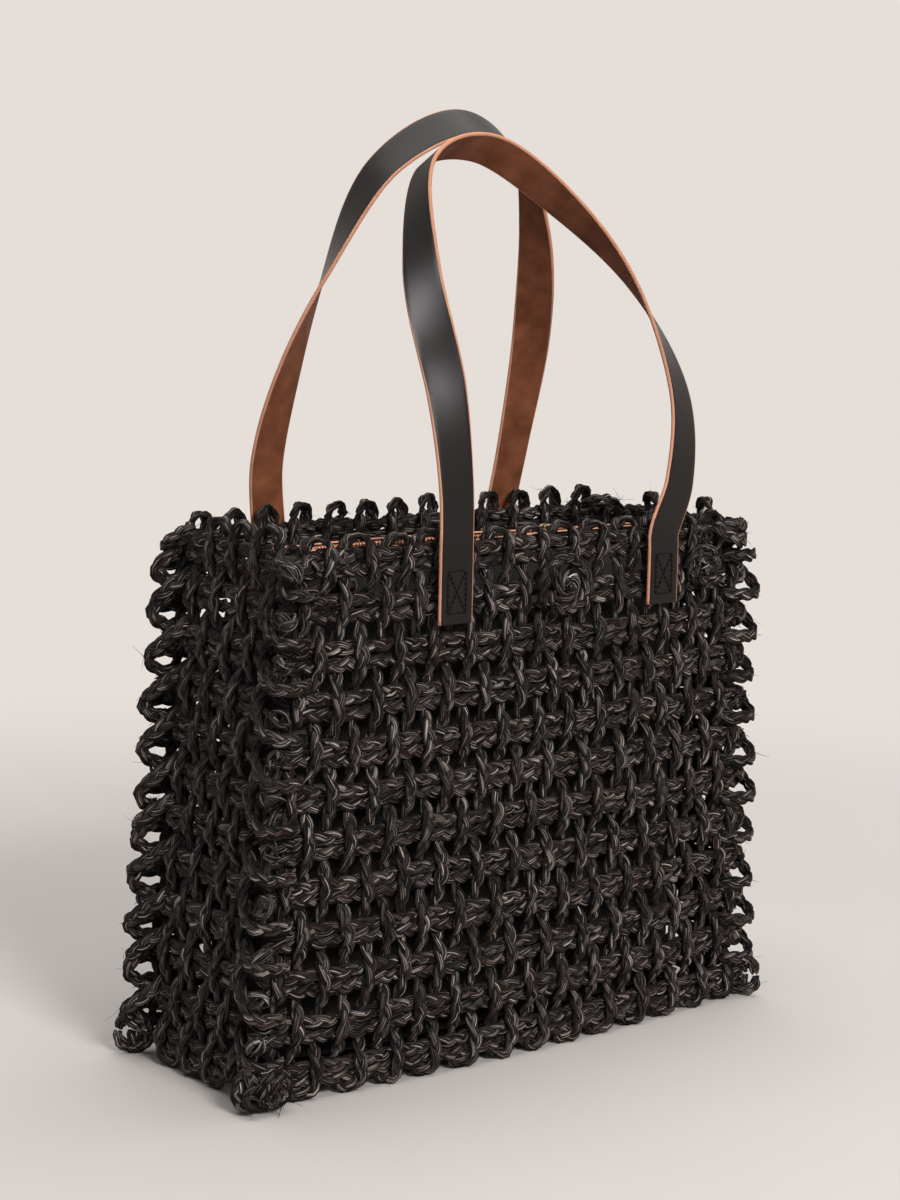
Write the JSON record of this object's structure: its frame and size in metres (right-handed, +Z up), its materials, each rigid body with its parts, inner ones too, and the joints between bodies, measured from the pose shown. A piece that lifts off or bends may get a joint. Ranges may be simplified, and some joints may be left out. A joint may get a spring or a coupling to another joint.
{
  "type": "woven tote bag",
  "caption": "Open-weave braided grass tote with slim leather strap handles that fold outward and a zipped cloth pouch inside.",
  "frame": {"origin": "on the floor under the middle of the bag", "axes": "+X along the bag's width to the right, -Y out of the front wall, +Z up"},
  "size_m": [0.4101, 0.1618, 0.5811],
  "materials": {
    "cord": "dyed plant-fibre braid, soft sheen along the strands",
    "strap_leather": "smooth dark grain, tan cut edges, brown flesh side",
    "trim_leather": "dark leather with a tan cut edge",
    "stitch_thread": "matt waxed thread",
    "pouch_cloth": "matt twill",
    "zip_tape": "matt woven tape",
    "zip_teeth": "antique copper",
    "zip_metal": "antique brass"
  },
  "bodies": {
    "bag": {"front_weft_cord": "cord", "front_warp_cord": "cord", "back_weft_cord": "cord", "back_warp_cord": "cord", "left_weft_cord": "cord", "left_warp_cord": "cord", "right_weft_cord": "cord", "right_warp_cord": "cord", "base_weft_cord": "cord", "base_warp_cord": "cord", "front_left_corner_lace": "cord", "front_right_corner_lace": "cord", "back_left_corner_lace": "cord", "back_right_corner_lace": "cord", "front_rosette": "cord", "upper_right_coil": "cord", "lower_left_coil": "cord", "front_handle_left_foot": "strap_leather", "front_handle_right_foot": "strap_leather", "back_handle_left_foot": "strap_leather", "back_handle_right_foot": "strap_leather", "front_handle_left_stitches": "stitch_thread", "front_handle_right_stitches": "stitch_thread", "back_handle_left_stitches": "stitch_thread", "back_handle_right_stitches": "stitch_thread", "pouch": "pouch_cloth", "zip_front_teeth": "zip_teeth", "zip_back_teeth": "zip_teeth", "zip_front_tape": "zip_tape", "zip_back_tape": "zip_tape", "zip_front_binding": "trim_leather", "zip_back_binding": "trim_leather", "zip_left_stop": "zip_metal", "zip_right_stop": "zip_metal", "left_end_tab": "trim_leather", "right_end_tab": "trim_leather", "front_leather_roll": "trim_leather"},
    "front_strap": {"front_handle": "strap_leather"},
    "back_strap": {"back_handle": "strap_leather"},
    "slider": {"zip_slider": "zip_metal"},
    "pull_tab": {"zip_puller": "zip_metal"}
  },
  "joints": [
    {"name": "front_handle_swing", "type": "hinge", "parent": "bag", "child": "front_strap", "pos_m": [0.018, -0.0792, 0.3123], "axis": [1, 0, 0], "range_deg": [0, 170]},
    {"name": "back_handle_swing", "type": "hinge", "parent": "bag", "child": "back_strap", "pos_m": [0, 0.0788, 0.3123], "axis": [-1, 0, 0], "range_deg": [0, 170]},
    {"name": "zip_slide", "type": "slide", "parent": "bag", "child": "slider", "axis": [1, 0, 0], "range_m": [-0.199, 0.075]},
    {"name": "pull_tab_swing", "type": "hinge", "parent": "slider", "child": "pull_tab", "pos_m": [0.06747, 0, 0.31914], "axis": [0, -1, 0], "range_deg": [0, 180]}
  ]
}
